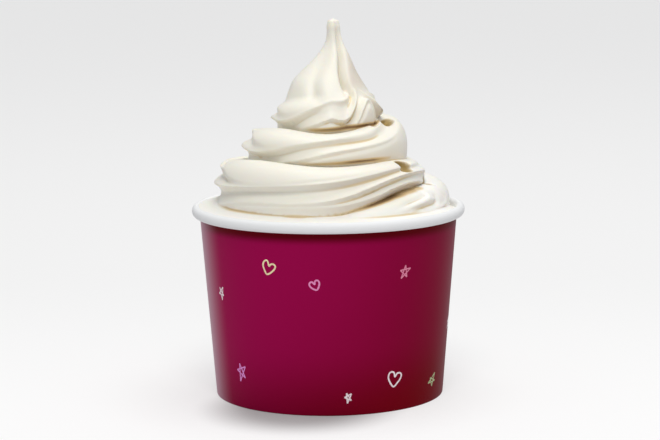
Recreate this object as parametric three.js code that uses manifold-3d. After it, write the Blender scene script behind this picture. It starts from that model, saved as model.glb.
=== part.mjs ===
// An ice cream cup: a paper cup with a rolled rim, heaped with a coiled swirl of frozen yogurt.
// Millimetres, +Z up. The origin is on the floor under the middle of the cup, and the front faces -Y.
import * as THREE from "three";
import { mergeVertices } from "three/addons/utils/BufferGeometryUtils.js";
import Module from "manifold-3d";

const wasm = await Module();
wasm.setup();

// ---- driving dimensions ----

const gap = 0.3; // between pieces that touch
const turnSegments = 72; // sides of a round piece

const cup = {
  footRadius: 46.85, // outside of the wall at the floor
  lean: 4.56, // degrees that the wall opens outwards
  paper: 0.6, // thickness of the board
  rimRadius: 56.0, // outside of the rolled rim
  rimHalfHeight: 2.25, // of the roll
  rimTop: 78.6, // height of the whole cup
  curlEnd: -120, // degrees, where the roll stops short of the wall
  footFold: 7.6, // how far the wall's folded edge reaches up inside
  footRound: 0.45, // radius of the bend at the floor
  bottomHeight: 8.6, // upper face of the bottom disc
};

const fill = {
  brimAngle: 118, // degrees round the rim's roll, up to where the yogurt covers it
  shelfRadius: 48.0, // from here inwards the coils stand on it
  shelfHeight: 79.8,
};

// The slope of the core that the coils lean on, inside their creases, as [radius, height].
const coreSlope = [
  [40.0, 82.8],
  [34.0, 91.0],
  [30.0, 97.5],
  [18.5, 110.0],
  [14.0, 116.5],
  [0, 121.0],
];

// The rope lies in a rising coil. Turn 0 is at the left, a quarter turn on is the front, a half
// the right, and each row gives the rope's section there, in the upright plane through the axis:
// turn, radius of its middle, height of its middle, half its width, half its height, and the
// angle in degrees of its first ridge above the level.
const ropeStations = [
  [0.25, 41.2, 75.4, 8.0, 6.0, 20],
  [0.5, 41.8, 79.8, 8.0, 8.2, 35],
  [0.75, 40.6, 83.6, 8.0, 9.4, 50],
  [1.0, 38.7, 87.4, 8.1, 10.4, 70],
  [1.25, 38.4, 89.2, 8.2, 9.6, 90],
  [1.5, 31.3, 90.2, 8.4, 7.6, 110],
  [1.75, 28.6, 95.8, 8.4, 8.6, 117],
  [2.0, 26.9, 102.4, 8.4, 8.0, 125],
  [2.25, 27.2, 103.7, 8.4, 7.4, 170],
  [2.5, 23.8, 103.8, 9.8, 11.0, 190],
  [2.75, 19.0, 110.4, 8.8, 9.2, 212],
  [3.0, 15.0, 115.0, 8.5, 8.0, 235],
  [3.25, 15.6, 115.2, 8.4, 7.8, 315],
  [3.5, 14.6, 116.8, 8.9, 7.4, 380],
  [3.75, 9.6, 119.6, 7.6, 6.8, 440],
  [4.0, 5.6, 121.0, 5.2, 6.0, 500],
];
const rope = {
  ridges: 6,
  grooveDepth: 0.33, // of the section's half size
  ridgeRounding: 0.16,
  boxiness: 0.86, // under 1 the section is squarer than an ellipse
  pointsPerRidge: 4,
  stepsPerHalfTurn: 18,
};

// The pulled-up end: height, how far right of the axis its middle is, and its half width.
const peakStations = [
  [112.0, 0.0, 12.5],
  [118.5, 0.0, 15.8],
  [124.0, 0.1, 16.6],
  [129.3, -0.5, 15.2],
  [135.8, 0.9, 10.2],
  [142.2, 2.7, 5.5],
  [148.8, 2.7, 3.5],
  [153.4, 2.9, 2.2],
  [154.6, 2.9, 1.0],
];
// Its grooves: direction in degrees (270 is the front), width in degrees, depth of its half width.
const peakGrooves = [
  [308, 17, 0.34],
  [233, 24, 0.12],
  [28, 26, 0.2],
  [98, 26, 0.18],
  [165, 26, 0.16],
];
const peakSides = 40;
const peakStepsPerStation = 2;

// ---- helpers ----

const radians = THREE.MathUtils.degToRad;

function material(color, roughness) {
  return new THREE.MeshStandardMaterial({ color, roughness, metalness: 0 });
}

// A profile of [radius, height] pairs turned about the Z axis.
function turned(profile) {
  const points = profile.map(([r, z]) => new THREE.Vector2(r, z));
  return new THREE.LatheGeometry(points, turnSegments).rotateX(Math.PI / 2);
}

// Points on an ellipse from one angle to another, in degrees.
function arc([x, y], [halfWidth, halfHeight], from, to, steps) {
  return Array.from({ length: steps + 1 }, (_, i) => {
    const angle = radians(from + ((to - from) * i) / steps);
    return [x + halfWidth * Math.cos(angle), y + halfHeight * Math.sin(angle)];
  });
}

// The row of a table of stations at a place between them, eased from one to the next.
function stationAt(table, place) {
  let i = table.findIndex((row) => row[0] > place) - 1;
  if (i < 0) i = place <= table[0][0] ? 0 : table.length - 2;
  const rows = [i - 1, i, i + 1, i + 2].map(
    (k) => table[THREE.MathUtils.clamp(k, 0, table.length - 1)],
  );
  const u = (place - rows[1][0]) / (rows[2][0] - rows[1][0]);
  return rows[1].map((value, column) => {
    const [before, a, b, after] = rows.map((row) => row[column]);
    const slopeA = (b - before) / 2;
    const slopeB = (after - a) / 2;
    const cubic = 2 * (a - b) + slopeA + slopeB;
    const square = 3 * (b - a) - 2 * slopeA - slopeB;
    return a + u * (slopeA + u * (square + u * cubic));
  });
}

// A closed mesh from rings of points, each ring joined to the next and the two end rings capped.
function loft(rings) {
  const sides = rings[0].length;
  const corners = rings.flat().flatMap((p) => p.toArray());
  const faces = [];
  for (let ring = 0; ring + 1 < rings.length; ring++) {
    for (let side = 0; side < sides; side++) {
      const a = ring * sides + side;
      const b = ring * sides + ((side + 1) % sides);
      faces.push(a, b, a + sides, b, b + sides, a + sides);
    }
  }
  const cap = (ring, order) => {
    const middle = corners.length / 3;
    const centre = new THREE.Vector3();
    rings[ring].forEach((p) => centre.addScaledVector(p, 1 / sides));
    corners.push(...centre.toArray());
    for (let side = 0; side < sides; side++) {
      const edge = [ring * sides + side, ring * sides + ((side + 1) % sides)];
      faces.push(middle, edge[order], edge[1 - order]);
    }
  };
  cap(0, 1);
  cap(rings.length - 1, 0);
  const geometry = new THREE.BufferGeometry();
  geometry.setAttribute("position", new THREE.Float32BufferAttribute(corners, 3));
  return geometry.setIndex(faces);
}

function solidFrom(geometry) {
  geometry.deleteAttribute("normal");
  geometry.deleteAttribute("uv");
  const merged = mergeVertices(geometry, 1e-3);
  const mesh = new wasm.Mesh({
    numProp: 3,
    vertProperties: merged.attributes.position.array,
    triVerts: new Uint32Array(merged.index.array),
  });
  return new wasm.Manifold(mesh);
}

function geometryFrom(solid) {
  const mesh = solid.getMesh();
  const geometry = new THREE.BufferGeometry();
  geometry.setAttribute("position", new THREE.BufferAttribute(mesh.vertProperties, 3));
  geometry.setIndex(new THREE.BufferAttribute(mesh.triVerts, 1));
  geometry.computeVertexNormals();
  return geometry;
}

// ---- the paper cup ----

// Outside radius of the wall at a height.
const wallRadius = (z) => cup.footRadius + z * Math.tan(radians(cup.lean));

// The folded foot holds the bottom's skirt between two layers of the wall.
const skirtOuter = (z) => wallRadius(z) - cup.paper - gap;
const skirtInner = (z) => skirtOuter(z) - cup.paper;
const foldOuter = (z) => skirtInner(z) - gap;
const foldInner = (z) => foldOuter(z) - cup.paper;

// The rim's roll is an ellipse between the wall's inner face and the rim's outside.
const rimHeight = cup.rimTop - cup.rimHalfHeight;
const rimHalfWidth = (cup.rimRadius - wallRadius(rimHeight) + cup.paper) / 2;
const rim = {
  middle: [cup.rimRadius - rimHalfWidth, rimHeight],
  outside: [rimHalfWidth, cup.rimHalfHeight],
  inside: [rimHalfWidth - cup.paper, cup.rimHalfHeight - cup.paper],
  brim: [rimHalfWidth + gap, cup.rimHalfHeight + gap],
};

function sidewallProfile() {
  const bend = [cup.footRound, cup.footRound];
  const bendMiddle = [wallRadius(0) - cup.footRound, cup.footRound];
  const foldMiddle = [foldInner(0) + cup.footRound, cup.footRound];
  return [
    ...arc(foldMiddle, bend, 180, 270, 2),
    ...arc(bendMiddle, bend, 270, 360, 2),
    [wallRadius(rimHeight - cup.rimHalfHeight), rimHeight - cup.rimHalfHeight],
    ...arc(rim.middle, rim.inside, 180, cup.curlEnd, 6),
    ...arc(rim.middle, rim.outside, cup.curlEnd, 180, 10),
    [wallRadius(cup.paper) - cup.paper, cup.paper],
    [foldOuter(cup.paper), cup.paper],
    [foldOuter(cup.footFold), cup.footFold],
    [foldInner(cup.footFold), cup.footFold],
    [foldInner(0), cup.footRound],
  ];
}

function bottomProfile() {
  const top = cup.bottomHeight;
  const under = top - cup.paper;
  const low = cup.paper + gap;
  return [
    [0, under],
    [skirtInner(under), under],
    [skirtInner(low), low],
    [skirtOuter(low), low],
    [skirtOuter(top), top],
    [0, top],
  ];
}

// ---- the frozen yogurt ----

// How far in a rounded groove a place is: 0 on a ridge, 1 in the middle between two.
function grooveAt(turns) {
  const wave = Math.hypot(Math.sin(Math.PI * turns), rope.ridgeRounding);
  return (wave - rope.ridgeRounding) / (Math.hypot(1, rope.ridgeRounding) - rope.ridgeRounding);
}

// The rope's ridged section at a turn of the coil, in its upright plane.
function ropeSection(turn) {
  const [, radius, height, halfWidth, halfHeight, twist] = stationAt(ropeStations, turn);
  const azimuth = Math.PI * (1 + 2 * turn);
  const count = rope.ridges * rope.pointsPerRidge;
  const soften = (v) => Math.sign(v) * Math.abs(v) ** rope.boxiness;
  return Array.from({ length: count }, (_, i) => {
    const angle = radians(twist) + (2 * Math.PI * i) / count;
    const size = 1 - rope.grooveDepth * grooveAt(i / rope.pointsPerRidge);
    const r = radius + halfWidth * size * soften(Math.cos(angle));
    const z = height + halfHeight * size * soften(Math.sin(angle));
    return new THREE.Vector3(r * Math.cos(azimuth), r * Math.sin(azimuth), z);
  });
}

// One stretch of the rope. Stretches of half a turn never meet themselves.
function ropeStretch(from, to) {
  const steps = Math.max(2, Math.round((to - from) * 2 * rope.stepsPerHalfTurn));
  const rings = Array.from({ length: steps + 1 }, (_, i) =>
    ropeSection(from + ((to - from) * i) / steps),
  );
  return loft(rings.map((ring) => ring.reverse()));
}

function peakRing([height, offset, halfWidth]) {
  return Array.from({ length: peakSides }, (_, i) => {
    const angle = (360 * i) / peakSides;
    let size = 1;
    for (const [direction, width, depth] of peakGrooves) {
      const away = THREE.MathUtils.euclideanModulo(angle - direction + 180, 360) - 180;
      size -= depth * Math.exp(-((away / width) ** 2));
    }
    const r = halfWidth * size;
    const x = offset + r * Math.cos(radians(angle));
    return new THREE.Vector3(x, r * Math.sin(radians(angle)), height);
  });
}

function peakRings() {
  return peakStations.flatMap(([height], i) => {
    const [next] = peakStations[Math.min(i + 1, peakStations.length - 1)];
    const steps = next > height ? peakStepsPerStation : 1;
    return Array.from({ length: steps }, (_, k) =>
      peakRing(stationAt(peakStations, height + ((next - height) * k) / steps)),
    );
  });
}

// What stands inside the coils and fills the cup down to its bottom.
function coreProfile() {
  const floor = cup.bottomHeight + gap;
  const inner = (z) => wallRadius(z) - cup.paper - gap;
  return [
    [0, floor],
    [inner(floor), floor],
    ...arc(rim.middle, rim.brim, 180, fill.brimAngle, 3),
    [fill.shelfRadius, fill.shelfHeight],
    ...coreSlope,
  ];
}

function yogurt() {
  const turns = ropeStations.map((row) => row[0]);
  const first = turns[0];
  const last = turns[turns.length - 1];
  let body = solidFrom(turned(coreProfile()));
  for (let from = first; from < last; from += 0.5) {
    body = body.add(solidFrom(ropeStretch(from, Math.min(from + 0.5, last))));
  }
  body = body.add(solidFrom(loft(peakRings())));
  // Small hollows sealed in between the coils are filled: only the outer shell is kept.
  const shells = body.decompose();
  shells.sort((a, b) => b.volume() - a.volume());
  return geometryFrom(shells[0]);
}

// ---- the object ----

function piece(name, geometry, finish) {
  const mesh = new THREE.Mesh(geometry, finish);
  mesh.name = name;
  return mesh;
}

const object = new THREE.Group();
object.add(
  piece("cup_sidewall", turned(sidewallProfile()), material(0x7a0838, 0.45)),
  piece("cup_bottom", turned(bottomProfile()), material(0xf2f0ec, 0.7)),
  piece("frozen_yogurt", yogurt(), material(0xf3eedd, 0.4)),
);

export default object;
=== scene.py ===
import math

import bpy
import numpy as np
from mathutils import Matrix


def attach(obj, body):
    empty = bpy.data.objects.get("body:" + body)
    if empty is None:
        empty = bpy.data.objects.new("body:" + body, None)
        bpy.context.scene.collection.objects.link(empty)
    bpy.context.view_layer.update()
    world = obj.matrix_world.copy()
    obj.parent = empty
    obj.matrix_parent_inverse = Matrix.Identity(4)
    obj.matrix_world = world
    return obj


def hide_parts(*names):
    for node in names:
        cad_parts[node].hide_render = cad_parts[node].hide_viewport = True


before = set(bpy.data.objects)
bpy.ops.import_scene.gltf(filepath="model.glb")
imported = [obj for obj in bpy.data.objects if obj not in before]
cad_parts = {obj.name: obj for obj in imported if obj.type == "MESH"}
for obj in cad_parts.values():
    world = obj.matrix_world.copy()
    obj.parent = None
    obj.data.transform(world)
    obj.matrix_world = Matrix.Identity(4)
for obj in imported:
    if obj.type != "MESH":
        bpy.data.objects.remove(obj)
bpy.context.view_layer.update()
print("frame loaded, its nodes are", sorted(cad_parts))

mm = 0.001  # the shapes below are worked out in millimetres, as the cup was drawn


# A long lens a little above the rim, looking slightly down.
camera = {
    "place": (0.00065, -0.950, 0.21603),  # metres
    "down": 8.648,  # degrees
    "roll": 0.481,  # degrees
    "lens": 127.32,  # mm
    "sensor": 36.0,  # mm wide
    "seesFrom": 0.05,  # metres
    "seesTo": 60.0,
}


def addCamera():
    data = bpy.data.cameras.new("camera")
    data.lens = camera["lens"]
    data.sensor_width = camera["sensor"]
    data.clip_start = camera["seesFrom"]
    data.clip_end = camera["seesTo"]
    eye = bpy.data.objects.new("camera", data)
    bpy.context.scene.collection.objects.link(eye)
    eye.location = camera["place"]
    eye.rotation_mode = "ZXY"
    eye.rotation_euler = (math.radians(90 - camera["down"]), 0.0, 0.0)
    bpy.context.view_layer.update()
    spin = eye.matrix_basis.to_3x3()
    roll = math.radians(-camera["roll"])
    turn = spin @ type(spin).Rotation(roll, 3, "Z")
    eye.rotation_mode = "XYZ"
    eye.rotation_euler = turn.to_euler("XYZ")
    bpy.context.scene.camera = eye


class Wire:
    # A number that flows between nodes: + - * on it adds the Math node for that sum.
    def __init__(self, finish, socket):
        self.finish = finish
        self.socket = socket

    def sum(self, operation, first, second):
        return self.finish.node("ShaderNodeMath", {"operation": operation}, {0: first, 1: second})

    def __add__(self, other):
        return self.sum("ADD", self, other)

    def __sub__(self, other):
        return self.sum("SUBTRACT", self, other)

    def __mul__(self, other):
        return self.sum("MULTIPLY", self, other)

    def __radd__(self, other):
        return self.sum("ADD", other, self)

    def __rsub__(self, other):
        return self.sum("SUBTRACT", other, self)

    def __rmul__(self, other):
        return self.sum("MULTIPLY", other, self)


class Finish:
    # One material: its Principled shader and the nodes in front of it.
    def __init__(self, name, **constants):
        self.material = bpy.data.materials.new(name)
        self.material.use_nodes = True
        self.tree = self.material.node_tree
        self.shader = self.tree.nodes["Principled BSDF"]
        for socket, value in constants.items():
            self.shader.inputs[socket.replace("_", " ")].default_value = value

    # Adds a node: its settings come first, then the values or wires of its inputs.
    def node(self, kind, settings=None, values=None, out=0):
        made = self.tree.nodes.new(kind)
        for key, value in (settings or {}).items():
            setattr(made, key, value)
        for key, value in (values or {}).items():
            if isinstance(value, Wire):
                self.tree.links.new(value.socket, made.inputs[key])
            else:
                made.inputs[key].default_value = value
        return Wire(self, made.outputs[out])

    def coordinates(self):
        return self.node("ShaderNodeTexCoord", out="Object")

    # The X, Y or Z of a vector.
    def along(self, axis, vector):
        return self.node("ShaderNodeSeparateXYZ", None, {0: vector}, out=axis)

    # A vector with each of its parts multiplied by that of another.
    def scaled(self, vector, factors):
        return self.node("ShaderNodeVectorMath", {"operation": "MULTIPLY"}, {0: vector, 1: factors})

    def attribute(self, name, out="Fac"):
        return self.node("ShaderNodeAttribute", {"attribute_name": name}, out=out)

    def noise(self, vector, scale, detail=2.0, roughness=0.5):
        values = {"Vector": vector, "Scale": scale, "Detail": detail, "Roughness": roughness}
        return self.node("ShaderNodeTexNoise", None, values)

    # A wire eased from one value to another while it crosses a range.
    def eased(self, wire, fromLow, fromHigh, toLow=0.0, toHigh=1.0):
        values = {
            "Value": wire, "From Min": fromLow, "From Max": fromHigh, "To Min": toLow, "To Max": toHigh,
        }
        return self.node("ShaderNodeMapRange", {"interpolation_type": "SMOOTHSTEP"}, values)

    def mix(self, share, first, second):
        a, b = ((*c, 1.0) if isinstance(c, tuple) else c for c in (first, second))
        return self.node("ShaderNodeMix", {"data_type": "RGBA"}, {0: share, 6: a, 7: b}, out=2)

    def bump(self, height, strength, distance):
        values = {"Height": height, "Strength": strength, "Distance": distance}
        return self.node("ShaderNodeBump", None, values)

    def feed(self, **wires):
        for socket, wire in wires.items():
            self.tree.links.new(wire.socket, self.shader.inputs[socket.replace("_", " ")])
        return self


# A mesh from vertex places in millimetres and four-cornered faces; a corner said twice makes a triangle.
def addMesh(name, places, faces, finish, slot, *nodes, smooth=True):
    mesh = bpy.data.meshes.new(name)
    quads = np.asarray(faces, np.int64)
    flat = quads[:, 3] == quads[:, 2]
    loops = [*quads[~flat].tolist(), *quads[flat][:, :3].tolist()]
    mesh.from_pydata((np.asarray(places, float) * mm).tolist(), [], loops)
    mesh.polygons.foreach_set("use_smooth", np.full(len(mesh.polygons), smooth))
    mesh.materials.append(finish)
    mesh.update()
    piece = bpy.data.objects.new(name, mesh)
    bpy.context.scene.collection.objects.link(piece)
    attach(piece, "root")
    if nodes:
        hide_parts(*nodes)
    return piece


# Faces between the rows of a grid of points that closes on itself sideways.
# Point (row, column) has the number row * columns + column, and the faces point to the right of
# the way from the first row to the last, seen with the columns running anticlockwise.
def ringFaces(rows, columns):
    row, column = np.meshgrid(np.arange(rows - 1), np.arange(columns), indexing="ij")
    here = row * columns + column
    beside = row * columns + (column + 1) % columns
    return np.stack([here, beside, beside + columns, here + columns], -1).reshape(-1, 4)


# Triangles from a row of points to one point.
def capFaces(first, columns, pole, upward):
    column = np.arange(columns)
    here = first + column
    beside = first + (column + 1) % columns
    order = [here, beside] if upward else [beside, here]
    return np.stack([*order, np.full(columns, pole), np.full(columns, pole)], -1)


# A table's row at any place: each column runs through its rows as a smooth cubic.
def stationAt(table, place):
    table = np.asarray(table, float)
    place = np.asarray(place, float)
    known = table[:, 0]
    step = np.diff(known)[:, None]
    rise = np.diff(table, axis=0) / step
    middle = (rise[:-1] * step[1:] + rise[1:] * step[:-1]) / (step[1:] + step[:-1])
    slope = np.concatenate([rise[:1], middle, rise[-1:]])
    i = np.clip(np.searchsorted(known, place, side="right") - 1, 0, len(table) - 2)
    start, end = table[i], table[i + 1]
    u = np.clip((place - known[i]) / step[i, 0], 0, 1)[..., None]
    slopeA, slopeB = slope[i] * step[i], slope[i + 1] * step[i]
    square, cubic = 3 * (end - start) - 2 * slopeA - slopeB, 2 * (start - end) + slopeA + slopeB
    return np.moveaxis(start + u * (slopeA + u * (square + u * cubic)), -1, 0)


def smoothStep(low, high, value):
    u = np.clip((value - low) / (high - low), 0, 1)
    return u * u * (3 - 2 * u)


# The paper cup.
cup = {
    "footRadius": 46.85,  # mm, outside of the wall at the floor
    "lean": math.radians(4.56),
    "paper": 0.6,
    "gap": 0.3,  # between the layers at the foot
    "rimRadius": 56.0,
    "rimHalfHeight": 2.25,
    "rimTop": 78.6,
    "curlEnd": -130,  # degrees round the roll where its edge lies against the wall
    "footFold": 7.6,
    "footRound": 0.45,
    "bottomHeight": 8.6,
    "columns": 384,
}
rimHeight = cup["rimTop"] - cup["rimHalfHeight"]


# The outside of the wall: a straight cone, wider by the tangent of its lean for each mm up.
def wallRadius(z):
    return cup["footRadius"] + z * math.tan(cup["lean"])


# The roll's section is an ellipse from the wall's inside out to the rim's radius.
rimHalfWidth = (cup["rimRadius"] - wallRadius(rimHeight) + cup["paper"]) / 2
rimMiddle = cup["rimRadius"] - rimHalfWidth


# Points round an ellipse between two angles in degrees.
def arc(middle, half, start, end, steps):
    angle = np.radians(np.linspace(start, end, steps + 1))
    return np.stack([middle[0] + half[0] * np.cos(angle), middle[1] + half[1] * np.sin(angle)], -1)


# Points along a straight line, both ends left out.
def line(start, end, steps):
    share = np.linspace(0, 1, steps + 1)[1:-1, None]
    return np.asarray(start) * (1 - share) + np.asarray(end) * share


# The wall's section once round, of radius and height: the rounded edge of the foot, up the straight
# outside, round the inner ellipse of the roll to the curl's edge, back round the outer one, which
# is larger by the paper's thickness, then down the straight inside to the folded strip.
def sidewallProfile():
    paper, rounding = cup["paper"], cup["footRound"]
    roll = [rimMiddle, rimHeight]
    outer = [rimHalfWidth, cup["rimHalfHeight"]]
    inner = [rimHalfWidth - paper, cup["rimHalfHeight"] - paper]
    foldOuter = wallRadius(0) - 2 * paper - 2 * cup["gap"]
    foldInner = foldOuter - paper
    low = [wallRadius(rounding), rounding]
    high = [wallRadius(rimHeight - outer[1]), rimHeight - outer[1]]
    tall = cup["footFold"] * math.tan(cup["lean"])
    return np.concatenate([
        arc([foldInner + rounding, rounding], [rounding, rounding], 180, 270, 4),
        arc([wallRadius(0) - rounding, rounding], [rounding, rounding], 270, 355, 4),
        line(low, high, 40),
        [high],
        arc(roll, inner, 180, cup["curlEnd"], 22),
        arc(roll, outer, cup["curlEnd"], 180, 40),
        line([roll[0] - outer[0], rimHeight], [wallRadius(paper) - paper, paper], 20),
        [[wallRadius(paper) - paper, paper]],
        [[foldOuter, paper]],
        [[foldOuter + tall, cup["footFold"]]],
        [[foldInner + tall, cup["footFold"]]],
    ])


# A profile of radius and height carried round the axis.
def turned(profile, columns):
    angle = np.linspace(0, 2 * np.pi, columns, endpoint=False)
    radius, height = profile[:, :1], profile[:, 1:]
    return np.stack(
        [radius * np.cos(angle), radius * np.sin(angle), height + 0 * angle], -1
    ).reshape(-1, 3)


def addSidewall():
    profile = sidewallProfile()
    columns = cup["columns"]
    places = turned(profile, columns)
    faces = ringFaces(len(profile) + 1, columns) % len(places)  # the last row joins the first
    addMesh("paper_sidewall", places, faces, paperFinish(), "printed_paper", "cup_sidewall")


# The bottom: a disc, with a skirt that goes down inside the wall at the wall's lean.
bottom = {
    "inBend": 0.5,  # mm cut off where the disc turns down, on the inside and on the outside
    "outBend": 0.6,
    "hole": 0.02,  # mm left open on the axis
    "columns": 192,
}


def addBottom():
    paper, gap, hole = cup["paper"], cup["gap"], bottom["hole"]
    inBend, outBend = bottom["inBend"], bottom["outBend"]
    top, low = cup["bottomHeight"], cup["paper"] + cup["gap"]
    outer = wallRadius(low) - paper - gap
    lean = (top - low) * math.tan(cup["lean"])
    profile = np.array([
        [hole, top - paper],
        [outer - paper + lean - inBend, top - paper],
        [outer - paper + lean, top - paper - inBend],
        [outer - paper, low],
        [outer, low],
        [outer + lean, top - outBend],
        [outer + lean - outBend, top],
        [hole, top],
    ])
    columns = bottom["columns"]
    places = turned(profile, columns)
    faces = ringFaces(len(profile) + 1, columns) % len(places)
    addMesh("paper_bottom", places, faces, whitePaperFinish(), "white_paper", "cup_bottom")


# The printed board: white inside and on the roll, ink on the outside of the wall.
board = {
    "white": (0.86, 0.87, 0.88),
    "inkShadedFoot": (0.165, 0.0001, 0.0055),  # redder and darker towards the foot and the right: partly the print, partly painted shade
    "inkLit": (0.33, 0.0018, 0.070),
    "rollShadow": (0.13, 0.0003, 0.003),
    "paintedSheen": (0.56, 0.32, 0.40),
    "printEnd": 2.0,  # mm below the middle of the roll
    "shadeEnd": 3.5,  # mm below it, where the painted shadow under the roll is darkest
    "shadeStart": 7.5,
    "printFrom": -0.35,  # mm from the outside of the wall, inside the paper
    "printFull": -0.25,
    "printEdge": 0.1,  # mm over which the print ends at the top
}


def paperFinish():
    finish = Finish("printed_paper", Roughness=0.4, Specular_IOR_Level=0.03)
    place = finish.coordinates()
    height, across = finish.along("Z", place), finish.along("X", place)
    flat = finish.scaled(place, (1, 1, 0))
    radius = finish.node("ShaderNodeVectorMath", {"operation": "LENGTH"}, {0: flat}, out="Value")
    wallHere = height * math.tan(cup["lean"]) + cup["footRadius"] * mm
    # Outside the wall's middle layer and below the roll the board is printed.
    outside = finish.eased(radius - wallHere, board["printFrom"] * mm, board["printFull"] * mm)
    printTop = (rimHeight - board["printEnd"]) * mm
    printed = outside * finish.eased(height, printTop, printTop - board["printEdge"] * mm)
    # Painted light and shade: the ink is painted lighter up and to the left and darker towards the foot
    # and the right, partly the print's own gradient and partly painted light.
    raised = finish.eased(height, 0.0, 0.03) * 0.03 + height * 0.4
    lit = finish.eased(raised - across * 0.75 + finish.noise(place, 30.0) * 0.004, -0.025, 0.085)
    ink = finish.mix(lit, board["inkShadedFoot"], board["inkLit"])
    # A painted shadow of the roll darkens the ink just below it.
    shadeFrom, shadeTo = ((rimHeight - board[key]) * mm for key in ("shadeStart", "shadeEnd"))
    ink = finish.mix(finish.eased(height, shadeFrom, shadeTo, 0.0, 0.95), ink, board["rollShadow"])
    # A painted sheen: the ink is painted paler where the paper turns away, on the left above all.
    facing = finish.node("ShaderNodeLayerWeight", None, {"Blend": 0.5}, out="Facing")
    paintedSheen = finish.eased(facing, 0.5, 0.95) * finish.eased(across, 0.0, -0.03, 0.05, 1.0)
    ink = finish.mix(paintedSheen, ink, board["paintedSheen"])
    colour = finish.mix(printed, board["white"], ink)
    grain = finish.noise(place, 2500.0, 3.0)
    return finish.feed(Base_Color=colour, Normal=finish.bump(grain, 0.12, 0.00005)).material


def whitePaperFinish():
    finish = Finish("white_paper", Roughness=0.6)
    place = finish.coordinates()
    colour = finish.mix(finish.noise(place, 300.0), (0.80, 0.80, 0.78), (0.86, 0.86, 0.84))
    grain = finish.noise(place, 1500.0, 3.0)
    return finish.feed(Base_Color=colour, Normal=finish.bump(grain, 0.2, 0.0001)).material


# The hearts and stars drawn on the wall. Outlines in mm across and up from their middle. A heart
# is a smooth line, a star five straight strokes, each from one tip to the next but one.
heartLines = {
    "leaning": [
        (0, 0.5), (-0.5, 2.4), (-1.3, 2.8), (-2.3, 2.1), (-2.7, 0.6), (-2.1, -1.3), (-1.2, -2.8),
        (0.5, -2.2), (2.3, -0.6), (2.7, 0.6), (1.9, 1.4), (0.7, 1.2),
    ],
    "small": [
        (0.1, 0.3), (-0.8, 1.2), (-1.7, 1.0), (-2, 0.1), (-1.4, -0.9), (-0.3, -1.6), (1, -1.9),
        (1.7, -0.7), (2, 0.8), (1.5, 1.8), (0.6, 1.9), (0.2, 1.2),
    ],
    "tall": [
        (0, 0.9), (-0.5, 2.6), (-1.6, 3.1), (-2.7, 2.6), (-3.1, 0.8), (-2.1, -1.4), (-0.5, -3.1),
        (1.2, -1.8), (2.7, -0.1), (3.1, 1.3), (2.4, 2.2), (1, 2.2),
    ],
}
starTips = {
    "long": [(-1, 2.3), (1.6, 2.7), (1.8, -0.7), (0.4, -2.7), (-1.8, -0.3)],
    "open": [(0, 2.6), (2.5, 1.2), (0.8, -2.2), (-2, -2.6), (-2.5, 0.7)],
    "tall": [(-0.8, 3.7), (2.5, 2.8), (2.1, -1.9), (-1, -3.7), (-2.5, 0.9)],
    "small": [(-0.6, 2.1), (1.4, 1.8), (1.4, -1), (-0.2, -2.1), (-1.4, 0.4)],
    "flat": [(2.5, 2.6), (2.8, -0.6), (0.4, -2.6), (-2.8, -0.9), (-1.3, 1.1)],
}
drawings = {
    "heartHalfWidth": 0.34,  # mm
    "starHalfWidth": 0.25,
    "proud": 0.03,  # of the wall
    "sunk": 0.06,  # into the wall
    "heartStep": 0.25,  # of the way from one point of an outline to the next
    "starPoints": 6,  # along a stroke
}
inks = {
    "cream": (0.93, 0.82, 0.50), "pink": (0.84, 0.30, 0.58), "rose": (0.80, 0.26, 0.40),
    "lilac": (0.80, 0.30, 0.72), "white": (0.92, 0.82, 0.86), "green": (0.46, 0.56, 0.30),
}
# Shape, azimuth in degrees and height in mm of its middle, and ink: first those of the front.
drawnHearts = [
    ("leaning", 243.0, 59.9, "cream"), ("small", 263.6, 53.5, "pink"), ("tall", 302.8, 13.4, "white"),
    ("tall", 18.0, 52.0, "pink"), ("leaning", 62.0, 17.0, "white"), ("small", 95.0, 60.0, "cream"),
    ("tall", 128.0, 40.0, "pink"), ("small", 158.0, 12.0, "white"),
]
drawnStars = [
    ("long", 211.1, 46.1, "white"), ("open", 306.1, 57.0, "rose"), ("tall", 222.6, 14.8, "lilac"),
    ("small", 278.7, 7.2, "white"), ("flat", 330.2, 9.2, "green"),
    ("open", 352.0, 30.0, "white"), ("small", 40.0, 34.0, "lilac"), ("tall", 76.0, 42.0, "rose"),
    ("long", 104.0, 24.0, "green"), ("open", 142.0, 62.0, "white"), ("flat", 176.0, 58.0, "cream"),
]


# A thin raised strip along a path of points in mm across and up, laid on the wall. Returns its
# places and faces; a path that isn't closed gets square ends.
def strip(path, halfWidth, azimuth, level, closed):
    path = np.asarray(path, float)
    if closed:
        way = np.roll(path, -1, 0) - np.roll(path, 1, 0)
    else:
        way = np.gradient(path, axis=0)
    way /= np.linalg.norm(way, axis=1, keepdims=True)
    side = np.stack([-way[:, 1], way[:, 0]], -1) * halfWidth
    corners = np.stack([path + side, path - side, path - side, path + side], 1)
    height = level + corners[..., 1]
    angle = math.radians(azimuth) + corners[..., 0] / wallRadius(level)
    radius = wallRadius(height) + np.repeat([drawings["proud"], -drawings["sunk"]], 2)
    places = np.stack([radius * np.cos(angle), radius * np.sin(angle), height], -1).reshape(-1, 3)
    rows = len(path)
    if closed:
        return places, ringFaces(rows + 1, 4) % len(places)
    last = 4 * (rows - 1)
    ends = [[0, 1, 2, 3], [last + 3, last + 2, last + 1, last]]
    return places, np.concatenate([ringFaces(rows, 4), ends])


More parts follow.
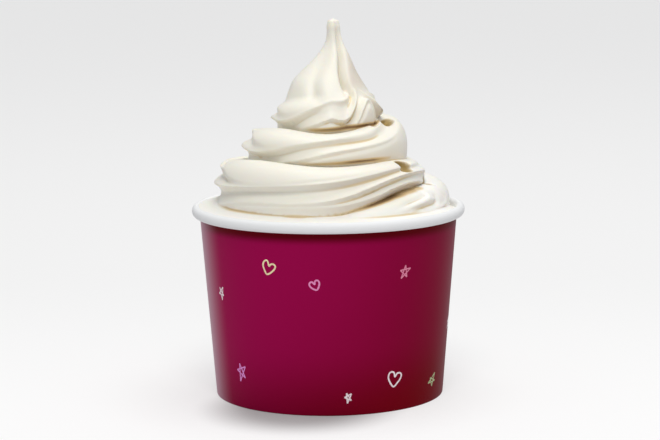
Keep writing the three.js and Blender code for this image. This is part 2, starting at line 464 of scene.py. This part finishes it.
# Joins strips of (places, faces, ink) to one piece that carries the inks as an attribute.
def addStrips(name, strips):
    starts = np.cumsum([0] + [len(places) for places, _, _ in strips])
    places = np.concatenate([places for places, _, _ in strips])
    faces = np.concatenate([faces + start for (_, faces, _), start in zip(strips, starts)])
    colours = [np.tile((*inks[ink], 1.0), (len(own), 1)) for own, _, ink in strips]
    colours = np.concatenate(colours).ravel()
    piece = addMesh(name, places, faces, inkFinish(name), "printed_paper", smooth=False)
    piece.data.attributes.new("ink", "FLOAT_COLOR", "POINT").data.foreach_set("color", colours)


def inkFinish(name):
    finish = Finish(name, Roughness=0.45, Specular_IOR_Level=0.1)
    worn = finish.eased(finish.noise(finish.coordinates(), 700.0, 3.0), 0.4, 0.7, 0.0, 0.25)
    colour = finish.mix(worn, finish.attribute("ink", "Color"), (0.4, 0.02, 0.12))
    return finish.feed(Base_Color=colour).material


# Each heart is one closed strip, each star five straight ones.
def addDrawings():
    hearts = []
    for shape, azimuth, level, ink in drawnHearts:
        outline = heartLines[shape]
        count = len(outline)
        table = [[i, *outline[i % count]] for i in range(-2, count + 3)]
        path = stationAt(table, np.arange(0, count, drawings["heartStep"]))[1:].T
        hearts.append((*strip(path, drawings["heartHalfWidth"], azimuth, level, True), ink))
    addStrips("printed_hearts", hearts)
    stars = []
    for shape, azimuth, level, ink in drawnStars:
        tips = np.array(starTips[shape], float)
        for i in range(5):
            share = np.linspace(0, 1, drawings["starPoints"])[:, None]
            path = tips[i] * (1 - share) + tips[(i + 2) % 5] * share
            stars.append((*strip(path, drawings["starHalfWidth"], azimuth, level, False), ink))
    addStrips("printed_stars", stars)


# The frozen yogurt: a rope coiled up over a core, and the end that was pulled up to a point.
yogurt = {
    "columns": 440,  # round the axis
    "rays": 560,  # tried from the brim to the tip, before they are spread evenly
    "lastRay": 0.999,  # of the way to the tip, where a last point closes the surface
    "rows": 212,
    "boxiness": 0.86,  # under 1 the rope's section is squarer than an ellipse
    "ridgeRounding": 0.10,
    "grooveLean": 0.72,
    "brimRadius": 54.0,  # mm, as far as the yogurt reaches
    "coreFuse": 0.8,  # mm, rounding between the coils and the core
    "peakFuse": 2.0,  # mm, between the coils and the pulled-up end
    "hollowFuse": 0.8,  # mm, round the mouths of the hollows
    "coreSlant": 0.7,  # the core's gap over the way across to it, because it slants
    "peakSlant": 0.8,
    "ropeReach": 16.0,  # mm from its middle, past which the rope is left out of account
    "steps": 64,  # of each ray before its last halvings
    "halvings": 7,
    "rowSmoothing": 14,  # columns
    "columnSmoothings": 2,
    "hollowSteps": 4,
    "ridgeFade": 0.3,  # ridges over which the grooves open and close
    "peakReach": 10.0,  # mm below the pulled-up end, past which it is left out of account
    "furrowsFrom": 30.0,  # mm from the axis, inside which there are no furrows
    "creaseFade": 2.0,  # mm past a crease's outermost radius
    "pitShadeFrom": 1.35,  # half sizes of a hollow, where its painted shade begins
    "pitShadeFull": 0.95,
    "insideHeights": (40.0, 74.0),  # mm, of the rows hidden in the cup
    "floorRounding": 1.0,
    "tipRise": 0.02,  # mm from the last row up to the point
}
# How high the yogurt fills the cup: mm at the brim and how much it rises inwards from there,
# then a dip at the right, with its azimuth and spread in degrees and its depth in mm.
fill = {
    "brim": 78.3, "rise": 1.6, "riseFrom": 53.6, "riseTo": 46.0,
    "dipAt": 18, "dipSpread": 20, "dip": 4.5,
}
# Where the painted shade in the creases is darkest: azimuth and spread in degrees, and how much of
# the hollowness counts away from there and more of it there.
shadeDarkest = {"at": 297, "spread": 32, "away": 0.8, "more": 1.2}

# The rope lies in a rising coil. Turn 0 is at the left, a quarter turn on the front, a half the
# right. Turn, radius and height of its middle, half its width and height, degrees of its first
# ridge above the level, degrees from one ridge down to the next, depth of its grooves, the span of
# ridges between which they are open, and mm of rounding where it lies on the coil below.
ropeStations = [
    [0.050, 41, 66, 8, 6, 90, 50, 0, -3, 9, 0.5],
    [0.250, 41.2, 74.9, 8, 5.5, 100, 50, 0, -3, 9, 0.5],
    [0.317, 41.4, 77.5, 8, 6.8, 112, 50, 0, -3, 9, 0.5],
    [0.408, 41.6, 79.7, 8, 8.1, 124, 50, 0, -3, 9, 0.5],
    [0.458, 41.7, 79.8, 8, 8.2, 100, 52, 0, -3, 9, 0.5],
    [0.500, 41.8, 80, 8, 8.2, 80, 55, 0, -3, 9, 0.5],
    [0.750, 40.4, 83.8, 8, 9.4, 72, 60, 0.3, -3, 9, 0.5],
    [0.940, 38.6, 86.0, 8.4, 11.0, 60, 52, 0.33, -3, 4.0, 0.5],
    [1.000, 38.2, 86.3, 8.5, 11.3, 53.4, 46.9, 0.34, -2, 2.6, 0.5],
    [1.060, 39.3, 87.4, 8.6, 11.4, 43, 38, 0.34, 0, 2.1, 0.4],
    [1.125, 40.7, 88.8, 8.7, 11.4, 34, 28.5, 0.34, 0.9, 2.1, 0.4],
    [1.250, 41.3, 88.6, 8.6, 10, 64, 38, 0.34, 0.9, 2.1, 0.4],
    [1.375, 36.7, 93.1, 8.3, 5.9, 80.1, 34.2, 0.22, 0.9, 4, 0.4],
    [1.500, 31.2, 89.6, 8.4, 7.4, 112, 45.2, 0.06, 0.9, 9, 0.8],
    [1.750, 28.3, 95.1, 8.3, 8.5, 139.0, 58.9, 0.30, -3, 9, 1.0],
    [2.000, 26.8, 101.4, 8.6, 8.6, 130.7, 60.9, 0.33, -2, 3.3, 2.5],
    [2.060, 27.4, 103.0, 8.7, 8.0, 117.0, 59.0, 0.33, 1.0, 3.1, 3.0],
    [2.125, 28.2, 104.5, 8.9, 7.3, 105.5, 56.9, 0.33, 1.9, 3.1, 3.0],
    [2.250, 28, 103.3, 8.9, 6.9, 144.6, 48.3, 0.29, 1.9, 3.1, 0.5],
    [2.375, 24.9, 103.3, 9.1, 9, 181.7, 53.8, 0.27, 1.9, 3, 0.4],
    [2.500, 22.9, 102.1, 9.5, 12.6, 240, 62.7, 0.12, -3, 3, 0.5],
    [2.750, 19.1, 108.1, 8.9, 9.2, 226.0, 63.4, 0.30, -3, 12, 1.0],
    [3.000, 15.1, 113.9, 8.4, 6.1, 234, 58.3, 0.3, 3, 5.2, 2.5],
    [3.125, 15.1, 116.1, 8.3, 6.2, 237, 62, 0.33, 3.9, 5.2, 2],
    [3.250, 15.3, 116.3, 8.4, 7.4, 284, 58, 0.36, 3.9, 5.2, 0.4],
    [3.320, 15, 117, 8.4, 8.4, 303, 60, 0.36, 3.9, 5.6, 0.3],
    [3.352, 14.8, 117.2, 8.4, 9.0, 360.0, 60.0, 0.34, 3.9, 6.1, 0.3],
    [3.386, 14.6, 117.2, 8.5, 9.4, 392.0, 60.0, 0.34, 3.9, 6.1, 0.3],
    [3.422, 14.3, 116.6, 8.6, 9.0, 335.0, 60.0, 0.32, 3.9, 6.1, 0.3],
    [3.500, 13.8, 115.8, 8.7, 8.2, 300, 60, 0.2, 3, 6.5, 0.5],
    [3.750, 9.9, 118.2, 7.7, 6.4, 320.0, 60.0, 0.25, 0.0, 14, 1.0],
    [4.000, 5.6, 121.0, 5.2, 6.0, 360.0, 60.0, 0.20, 0.0, 14, 1.0],
]
# Hollows left between the coils: azimuth, radius and height of the middle, then the half sizes
# round the axis, outwards and upwards.
hollows = [
    [349.0, 24.4, 112.0, 4.5, 2.5, 6.0],
    [318.0, 40.2, 97.0, 3.4, 4.2, 2.8],
    [341.0, 42.6, 88.4, 2.4, 2.6, 3.0],
]

# Furrows drawn into the finished surface: half width and depth in mm, then azimuth in degrees,
# height in mm and strength along the way. A depth under 0 raises a ridge.
furrows = [
    [1.1, 1.1, (328, 87.5, 0), (333, 84.5, 1), (333, 82.4, 1), (329, 81.5, 1), (320, 81.0, 1),
     (311, 80.4, 0)],
    [0.8, -0.6, (330, 90.0, 0), (338, 87.5, 1), (344, 83.5, 1), (343, 80.6, 1), (336, 79.7, 1),
     (322, 79.9, 0)],
    [0.9, 0.7, (322, 88.4, 0), (325, 85.8, 1), (321, 84.9, 1), (312, 83.6, 1), (303, 81.6, 0)],
    [0.8, -0.4, (326, 86.4, 0), (327, 84.3, 1), (320, 83.1, 1), (312, 82.2, 1), (304, 80.9, 0)],
]
# Painted shade along the lines where a coil meets the one below: half width in mm, the radius past
# which none of it shows, then azimuth, height and darkness along the way. Up to a half is golden, 1 dark
# brown.
creaseShadeLines = [
    [0.7, 47.8, (192, 80.6, 0.2), (215, 80.2, 0.55), (262, 80.0, 0.4), (280, 81.2, 0.35), (292, 83.5, 0.9),
     (306, 85.9, 0.95), (315, 86.9, 0.6), (330, 88.0, 0.5)],
    [1.0, 35.0, (245, 98.9, 0.1), (256, 99.4, 0.5), (268, 99.7, 0.95), (285, 99.9, 1.0), (302, 100, 0.9),
     (318, 100, 0.4)],
    [1.1, 22.5, (240, 110.7, 0.1), (256, 111.0, 0.7), (285, 111.7, 0.95), (300, 112.2, 1.0),
     (315, 112.5, 1.0), (332, 112.5, 1.0), (340, 113.2, 0.6)],
]

# The slope of the core inside the creases: height, radius.
coreSlope = [
    [79.8, 48.0], [82.8, 40.0], [91.0, 34.0], [97.5, 30.0], [110.0, 18.5], [116.5, 14.0],
    [121.0, 0.0], [125.0, -8.0],
]

# The pulled-up end: height, how far right of the axis its middle leans, and its half width.
peakStations = [
    [112.0, 0.0, 15.0], [118.0, 0.3, 18.6], [122.0, 0.4, 17.6], [125.0, 0.25, 16.5], [130.0, -0.2, 13.9],
    [133.2, 0.4, 11.6], [136.5, 1.45, 9.25], [140.0, 2.35, 6.95], [144.0, 2.8, 4.7], [148.8, 2.7, 3.3],
    [152.4, 2.6, 2.8], [153.8, 2.6, 2.1], [154.5, 2.6, 0.1],
]
# How its grooves turn and get shallower, and how its front and its tip are shaped.
peak = {
    "turnsFrom": 125,  # mm high, from where the grooves turn to their direction at the tip
    "turnsOver": 28,
    "fadeFrom": 145,  # mm high, from where the grooves get shallower
    "fadeTo": 152,
    "fade": 0.5,
    "lobeAt": 272,  # degrees, a swelling low down on the front
    "lobeSpread": 30,
    "lobe": 0.16,  # of the half width
    "lobeFrom": 122,  # mm high
    "lobeTo": 138,
    "tipSlope": 2,  # mm of gap for each mm above the tip
}
# Its grooves: direction in degrees low down and at the tip (270 is the front), half width in mm,
# and depth as a share of the half width of the peak.
peakGrooves = [
    [299, 306, 1.5, 0.52],
    [250, 237, 3.0, 0.14],
    [28, 28, 4.0, 0.20],
    [98, 98, 4.0, 0.18],
    [165, 165, 4.0, 0.16],
]

# Where the surface is looked for: share of the way from the brim to the tip, then radius and
# height where a ray starts outside, and where it ends inside.
rayStations = [
    [0.00, 53.6, 90.0, 53.6, 70.0],
    [0.05, 52.5, 92.0, 51.5, 72.0],
    [0.14, 58.0, 95.0, 44.0, 78.0],
    [0.26, 60.0, 100.0, 34.0, 85.0],
    [0.50, 48.0, 118.0, 20.0, 102.0],
    [0.70, 34.0, 134.0, 6.0, 118.0],
    [0.82, 25.0, 142.0, 0.0, 130.0],
    [0.92, 14.0, 151.0, 0.0, 144.0],
    [0.97, 7.0, 158.0, 0.0, 150.0],
    [1.00, 0.001, 160.0, 0.0005, 150.0],
]


peakHeights = np.linspace(peakStations[0][0], peakStations[-1][0], 400)
peakWidths = peakHeights, stationAt(peakStations, peakHeights)[2]


# How deep in a groove a place is, counted in ridges: 0 on a ridge, 1 in the deepest place, which
# is nearer to the ridge above.
def grooveAt(ridge):
    rounding = yogurt["ridgeRounding"]
    share = (ridge % 1.0) ** yogurt["grooveLean"]
    wave = np.hypot(np.sin(np.pi * share), rounding)
    return (wave - rounding) / (math.hypot(1, rounding) - rounding)


# How far outside the rope's ridged section a point of the upright plane is. The section is an
# ellipse squared by the boxiness, and its size is 1 less the depth in the groove at each angle.
def ropeGap(radius, height, station):
    _, middle, level, halfWidth, halfHeight, twist, spacing, depth, first, last, _ = station
    across, up = radius - middle, height - level
    power = 1 / yogurt["boxiness"]
    x, y = np.abs(across / halfWidth) ** power, np.abs(up / halfHeight) ** power
    angle = np.degrees(np.arctan2(np.copysign(y, up), np.copysign(x, across)))
    size = np.hypot(x, y) ** yogurt["boxiness"]
    ridge = (twist - angle) / spacing
    fade = yogurt["ridgeFade"]
    begun = smoothStep(first - fade, first + fade, ridge)
    lasting = smoothStep(last + fade, last - fade, ridge)
    edge = 1 - depth * (begun * lasting) * grooveAt(ridge)
    return np.hypot(across, up) * (1 - edge / np.maximum(size, 1e-6))


# The smaller of two gaps, with the corner between them rounded over a reach in mm.
def blended(a, b, reach):
    near = np.maximum(reach - np.abs(a - b), 0) / reach
    return np.minimum(a, b) - near * near * reach / 4


# The shorter way round from one azimuth to another in degrees.
def apart(azimuth, other):
    return (azimuth - other + 180) % 360 - 180


# A bell: 1 in its middle and falling off on both sides by its spread.
def bell(away, spread):
    return np.exp(-((away / spread) ** 2))


# The height of the yogurt between the coils and the brim: a gentle rise inwards less the dip.
def fillHeight(radius, azimuth):
    dip = fill["dip"] * bell(apart(np.degrees(azimuth), fill["dipAt"]), fill["dipSpread"])
    return fill["brim"] + fill["rise"] * smoothStep(fill["riseFrom"], fill["riseTo"], radius) - dip


# How far outside the pulled-up end a point is: its radius less the end's half width at that
# height, which the grooves make smaller and the lobe larger.
def peakGap(radius, height, azimuth):
    halfWidth = np.interp(height, *peakWidths)
    turn = np.clip((height - peak["turnsFrom"]) / peak["turnsOver"], 0, 1)
    share = 1 - peak["fade"] * smoothStep(peak["fadeFrom"], peak["fadeTo"], height)
    size = 1.0
    for low, high, width, depth in peakGrooves:
        away = np.radians(apart(np.degrees(azimuth), low + (high - low) * turn)) * halfWidth
        size = size - depth * share * bell(away, width)
    swelling = bell(apart(np.degrees(azimuth), peak["lobeAt"]), peak["lobeSpread"])
    size = size + peak["lobe"] * smoothStep(peak["lobeTo"], peak["lobeFrom"], height) * swelling
    above = np.maximum(height - peakStations[-1][0], 0)
    return (radius - halfWidth * size + above * peak["tipSlope"]) * yogurt["peakSlant"]


# How many half sizes points are from the middle of a hollow, which is an ellipsoid: the root of the
# squares round, outwards and up, each over its half size. It is 1 on the hollow's edge.
def hollowDistance(hollow, radius, azimuth, height):
    direction, far, level, around, out, up = hollow
    away = (azimuth - math.radians(direction) + np.pi) % (2 * np.pi) - np.pi
    squares = (away * far / around) ** 2 + ((radius - far) / out) ** 2 + ((height - level) / up) ** 2
    return np.sqrt(squares)


# How far outside the yogurt points are: the smallest of the gaps to the fill, the coils, the core
# and the pulled-up end, with the hollows taken out. Each row of points is at one azimuth.
def yogurtGap(radius, height, azimuth):
    share = (azimuth / (2 * np.pi) - 0.5) % 1.0
    gap = np.maximum(height - fillHeight(radius, azimuth[:, None]), radius - yogurt["brimRadius"])
    for whole in range(math.ceil(ropeStations[-1][0]) + 1):
        turn = share + whole
        station = stationAt(ropeStations, turn)[:, :, None]
        on = ((turn >= ropeStations[0][0]) & (turn <= ropeStations[-1][0]))[:, None]
        reach = yogurt["ropeReach"]
        near = on & (np.abs(radius - station[1]) < reach) & (np.abs(height - station[2]) < reach)
        row, column = np.nonzero(near)
        if len(row) == 0:
            continue
        mine = station[:, row, 0]
        rope = ropeGap(radius[row, column], height[row, column], mine)
        gap[row, column] = blended(gap[row, column], rope, mine[10])
    slope = np.array(coreSlope)
    core = (radius - np.interp(height, slope[:, 0], slope[:, 1])) * yogurt["coreSlant"]
    gap = blended(gap, core, yogurt["coreFuse"])
    high = height.max(0) > peakStations[0][0] - yogurt["peakReach"]
    if high.any():
        end = peakGap(radius[:, high], height[:, high], azimuth[:, None])
        gap[:, high] = blended(gap[:, high], end, yogurt["peakFuse"])
    for hollow in hollows:
        depth = (hollowDistance(hollow, radius, azimuth[:, None], height) - 1) * min(hollow[3:])
        gap = -blended(-gap, depth, yogurt["hollowFuse"])
    return gap


# Where each ray first meets the yogurt: the ray is walked inwards in even steps until the gap
# turns negative, and the step where that happens is halved again and again.
def surfacePoints(azimuth, share):
    _, startR, startZ, endR, endZ = stationAt(rayStations, share)
    ways = np.ones((len(azimuth), len(share)))

    def gapAt(way):
        return yogurtGap(startR + (endR - startR) * way, startZ + (endZ - startZ) * way, azimuth)

    steps = yogurt["steps"]
    found = np.zeros(ways.shape, bool)
    high = ways.copy()
    for i in range(1, steps + 1):
        inside = gapAt(ways * i / steps) < 0
        high = np.where(inside & ~found, i / steps, high)
        found |= inside
    low = high - 1 / steps
    for _ in range(yogurt["halvings"]):
        middle = (low + high) / 2
        inside = gapAt(middle) < 0
        high = np.where(inside, middle, high)
        low = np.where(inside, low, middle)
    way = (low + high) / 2
    return startR + (endR - startR) * way, startZ + (endZ - startZ) * way


# Spreads the rows of points evenly by length along each column's outline. The lengths are
# first smoothed from column to column, so that rows run on smoothly past a crease that opens.
def evenly(radius, height, rows):
    length = np.hypot(np.diff(radius, axis=1), np.diff(height, axis=1))
    along = np.concatenate([np.zeros((len(radius), 1)), np.cumsum(length, 1)], 1)
    along /= along[:, -1:]
    waves = np.fft.rfftfreq(len(along))[:, None]
    soft = np.exp(-2 * (np.pi * waves * yogurt["rowSmoothing"]) ** 2)
    along = np.fft.irfft(np.fft.rfft(along, axis=0) * soft, len(along), axis=0)
    want, ray = np.linspace(0, 1, rows), np.arange(radius.shape[1])
    picks = [np.interp(want, column, ray) for column in along]
    spread = [
        np.array([np.interp(pick, ray, column) for pick, column in zip(picks, outline)])
        for outline in (radius, height)
    ]
    return spread


# The outward directions at a grid's points: across both the way from column to column and the way
# from row to row, and one unit long.
def normalsOf(grid):
    normal = np.cross(np.roll(grid, -1, 1) - np.roll(grid, 1, 1), np.gradient(grid, axis=0))
    return normal / np.maximum(np.linalg.norm(normal, axis=2, keepdims=True), 1e-9)


# The distance in mm from each point to a line of (azimuth, height, strength), and the strength
# of the line where it is nearest.
def lineNear(way, radius, azimuth, height):
    toMm = np.radians(1) * radius
    nearest, strength = np.full(radius.shape, 1e9), np.zeros(radius.shape)
    for (startA, startZ, startS), (endA, endZ, endS) in zip(way[:-1], way[1:]):
        across, up = (azimuth - startA) * toMm, height - startZ
        long, tall = (endA - startA) * toMm, endZ - startZ
        share = np.clip((across * long + up * tall) / (long * long + tall * tall), 0, 1)
        near = np.hypot(across - share * long, up - share * tall)
        strength = np.where(near < nearest, startS + (endS - startS) * share, strength)
        nearest = np.minimum(nearest, near)
    return nearest, strength


# Radius, azimuth in degrees and height of a grid's points.
def polar(grid):
    azimuth = np.degrees(np.arctan2(grid[..., 1], grid[..., 0])) % 360
    return np.hypot(grid[..., 0], grid[..., 1]), azimuth, grid[..., 2]


# The grid with the furrows drawn into it: each sinks the surface inwards by its depth times a bell
# across it. They are all out on the coils, so the core side of the surface is left alone.
def furrowed(grid):
    radius, azimuth, height = polar(grid)
    sunk = np.zeros(radius.shape)
    for width, depth, *way in furrows:
        near, strength = lineNear(way, radius, azimuth, height)
        sunk += depth * strength * bell(near, width)
    return grid - normalsOf(grid) * (sunk * (radius > yogurt["furrowsFrom"]))[..., None]


# How dark the painted shade is at each point for the creases that run past it: the strongest of their
# bells.
def creaseShading(grid):
    radius, azimuth, height = polar(grid)
    dark = np.zeros(radius.shape)
    for width, outermost, *way in creaseShadeLines:
        near, strength = lineNear(way, radius, azimuth, height)
        strength = strength * smoothStep(outermost + yogurt["creaseFade"], outermost, radius)
        dark = np.maximum(dark, strength * bell(near, width))
    return dark


# How near each point is to a hollow between the coils, for the painted shade there: 1 inside, 0 well
# outside.
def inHollows(grid):
    radius, azimuth, height = polar(grid)
    distances = [hollowDistance(hollow, radius, np.radians(azimuth), height) for hollow in hollows]
    return smoothStep(yogurt["pitShadeFrom"], yogurt["pitShadeFull"], np.minimum.reduce(distances))


# How far in mm each point of a grid lies inside the mean of the points round it, which is
# counted more where the painted shade in the creases is darkest; it sets the painted shade in the grooves.
def hollowness(grid):
    normal = normalsOf(grid)
    soft = grid
    for i in range(yogurt["hollowSteps"]):
        ends = np.concatenate([soft[:1], soft, soft[-1:]])
        soft = (ends[:-2] + 2 * soft + ends[2:]) / 4
        if i % 3 == 0:
            soft = (np.roll(soft, 1, 1) + 2 * soft + np.roll(soft, -1, 1)) / 4
    near = bell(apart(polar(grid)[1], shadeDarkest["at"]), shadeDarkest["spread"])
    return ((soft - grid) * normal).sum(2) * (shadeDarkest["away"] + shadeDarkest["more"] * near)


# The swirl's grid of points, from the brim up to the tip, and below it the inside of the cup.
def addYogurt():
    columns, rows = yogurt["columns"], yogurt["rows"]
    azimuth = np.linspace(0, 2 * np.pi, columns, endpoint=False)
    radius, height = surfacePoints(azimuth, np.linspace(0, yogurt["lastRay"], yogurt["rays"]))
    print("yogurt: surface found")
    radius, height = evenly(radius, height, rows)
    for _ in range(yogurt["columnSmoothings"]):
        radius, height = ((np.roll(a, 1, 0) + 2 * a + np.roll(a, -1, 0)) / 4 for a in (radius, height))
    x = radius * np.cos(azimuth[:, None]) + stationAt(peakStations, height)[1]
    y = radius * np.sin(azimuth[:, None])
    grid = furrowed(np.stack([x, y, height], -1).transpose(1, 0, 2))
    top = grid.reshape(-1, 3)
    floor = cup["bottomHeight"] + cup["gap"]
    edge, *walls = [
        [wallRadius(z) - cup["paper"] - cup["gap"], z] for z in (floor, *yogurt["insideHeights"])
    ]
    bend = yogurt["floorRounding"]
    hidden = np.array([[edge[0] - bend, floor], [edge[0], floor + bend], *walls])
    below = turned(hidden, columns)
    tip = [*top[-columns:, :2].mean(0), top[-columns:, 2].max() + yogurt["tipRise"]]
    places = np.concatenate([below, top, [[0, 0, floor], tip]])
    ringRows = len(hidden) + rows
    poles = len(places) - 2, len(places) - 1
    faces = np.concatenate([
        ringFaces(ringRows, columns),
        capFaces(0, columns, poles[0], False),
        capFaces((ringRows - 1) * columns, columns, poles[1], True),
    ])
    piece = addMesh("yogurt_swirl", places, faces, yogurtFinish(), "frozen_yogurt", "frozen_yogurt")
    # Attributes for the painted shade in the grooves, the hollows and the creases, and the upward slope.
    amounts = {
        "hollow": hollowness(grid), "pitShade": inHollows(grid), "creaseShade": creaseShading(grid),
        "upward": normalsOf(grid)[..., 2],
    }
    for name, amount in amounts.items():
        values = np.concatenate([np.zeros(len(below)), amount.ravel(), [0, 0]])
        piece.data.attributes.new(name, "FLOAT", "POINT").data.foreach_set("value", values)
    deepest = round(float(amounts["hollow"].max()), 2)
    print("yogurt:", (len(faces) - columns) * 2, "triangles, hollows up to", deepest, "mm")


yogurtColours = {
    "cream": (0.90, 0.868, 0.765),
    "paler": (0.915, 0.89, 0.80),  # in patches
    "low": (0.97, 0.955, 0.89),  # painted light: paler by the brim and on the right
    "under": (0.72, 0.64, 0.55),  # painted shade where it faces down, and on the peak's right
    # painted shade in the hollows between the coils
    "pitShade": (0.36, 0.24, 0.06),
    "pitShadeShare": 0.95,
}
# Painted shade, golden and then brown, in the grooves and again along the creases: the attribute,
# the values between which the shade comes in, and its colour.
grooveShades = [
    ("hollow", 0.12, 0.45, (0.80, 0.66, 0.43)),
    ("hollow", 0.5, 1.1, (0.36, 0.23, 0.09)),
    ("creaseShade", 0.15, 0.6, (0.72, 0.54, 0.29)),
    ("creaseShade", 0.5, 1.0, (0.22, 0.12, 0.05)),
]


def yogurtFinish():
    finish = Finish(
        "frozen_yogurt", Roughness=0.36, Subsurface_Weight=0.3, Subsurface_Scale=0.0014,
        Subsurface_Radius=(1.0, 0.75, 0.45), IOR=1.36,
    )
    mix, eased, colours = finish.mix, finish.eased, yogurtColours
    place = finish.coordinates()
    across, height = finish.along("X", place), finish.along("Z", place)
    colour = mix(finish.noise(place, 60.0, 3.0), colours["cream"], colours["paler"])
    # Painted light: the cream is painted paler low down by the brim and on the right.
    low = eased(height, 0.085, 0.080) + eased(across, 0.028, 0.040)
    colour = mix(low, colour, colours["low"])
    # Painted shade where the surface faces down, and on the peak's right side, away from the light.
    under = eased(finish.attribute("upward"), 0.30, -0.45) * eased(across, -0.012, 0.012, 0.15, 0.75)
    peakRightShade = eased(across, 0.006, 0.011) * eased(height, 0.123, 0.130) * 0.7
    colour = mix(under + peakRightShade, colour, colours["under"])
    # Painted shade in the grooves and along the creases.
    for name, start, full, tint in grooveShades:
        colour = mix(eased(finish.attribute(name), start, full), colour, tint)
    # Painted shade in the hollows between the coils.
    colour = mix(finish.attribute("pitShade") * colours["pitShadeShare"], colour, colours["pitShade"])
    gloss = eased(finish.noise(place, 140.0, 3.0), 0.55, 0.75, 0.40, 0.30)
    grain = finish.bump(finish.noise(place, 900.0, 4.0, 0.6), 0.15, 0.0003)
    return finish.feed(Base_Color=colour, Roughness=gloss, Normal=grain).material


# A pale floor that glows a little, and the light of the room around.
stage = {
    "size": 12.0,  # metres from the middle to the floor's edges
    # Painted light: the floor is painted lighter towards the camera, where the lamps light it more.
    "far": (0.38, 0.38, 0.38),
    "near": (0.46, 0.46, 0.46),
    "farAt": 0.3,  # metres behind the cup's axis
    "nearAt": -0.1,
    "glow": 0.51,
    "shadowAt": (-0.012, -0.030, 0.0),  # metres, under the cup, where the floor hardly glows
    "shadowFrom": 0.018,  # metres from there, between which the glow comes back
    "shadowTo": 0.045,
    "shadowGlow": 0.10,  # of the glow
    "glowUnseen": 0.55,  # of the glow, for what it throws on the cup
    "room": (0.97, 0.975, 1.0, 1.0),
    "roomStrength": 0.40,
}


def floorFinish():
    finish = Finish("floor", Roughness=0.7, Specular_IOR_Level=0.1, Emission_Strength=stage["glow"])
    place = finish.coordinates()
    paintedNearLight = finish.eased(finish.along("Y", place), stage["farAt"], stage["nearAt"])
    colour = finish.mix(paintedNearLight, stage["far"], stage["near"])
    flat = finish.scaled(place, (1.0, 0.9, 0.0))
    values = {0: flat, 1: stage["shadowAt"]}
    fromFoot = finish.node("ShaderNodeVectorMath", {"operation": "DISTANCE"}, values, out="Value")
    seen = finish.node("ShaderNodeLightPath", out="Is Camera Ray")
    unseen = stage["glowUnseen"]
    glow = finish.eased(fromFoot, stage["shadowFrom"], stage["shadowTo"], stage["shadowGlow"], 1.0)
    glow = finish.mix(glow * (seen * (1 - unseen) + unseen), (0.0, 0.0, 0.0), (1.0, 1.0, 1.0))
    return finish.feed(Base_Color=colour, Emission_Color=glow).material


def addStage():
    far = stage["size"]
    mesh = bpy.data.meshes.new("floor")
    corners = [(-far, -far, 0), (far, -far, 0), (far, far, 0), (-far, far, 0)]
    mesh.from_pydata(corners, [], [(0, 1, 2, 3)])
    floor = bpy.data.objects.new("floor", mesh)
    bpy.context.scene.collection.objects.link(floor)
    mesh.materials.append(floorFinish())

    world = bpy.data.worlds.new("studio")
    bpy.context.scene.world = world
    world.use_nodes = True
    sky = world.node_tree.nodes["Background"].inputs
    sky["Color"].default_value = stage["room"]
    sky["Strength"].default_value = stage["roomStrength"]


# Kind, place in metres, size in metres or a sun's angle, watts or a sun's strength, and colour.
lamps = {
    "window": ("SUN", (0.0, -0.80, 1.10), math.radians(26), 1.25, (1.0, 0.995, 0.975)),
    "top": ("AREA", (0.15, 0.10, 1.3), 0.9, 6.5, (1.0, 0.995, 0.98)),
}


def addLamps():
    for name, (kind, place, size, power, colour) in lamps.items():
        data = bpy.data.lights.new(name, kind)
        if kind == "SUN":
            data.angle = size
        else:
            data.size = size
        data.energy = power
        data.color = colour
        lamp = bpy.data.objects.new(name, data)
        bpy.context.scene.collection.objects.link(lamp)
        lamp.location = place
        aim = lamp.location * -1
        aim.z += 0.08  # half the height of the cup and its swirl
        lamp.rotation_euler = aim.to_track_quat("-Z", "Y").to_euler()


def setView():
    view = bpy.context.scene.view_settings
    view.view_transform = "Standard"
    view.look = "None"
    view.exposure = 0.0


addCamera()
print("camera set")
addSidewall()
addBottom()
addDrawings()
print("cup made")
addYogurt()
addStage()
addLamps()
setView()
print("stage set")
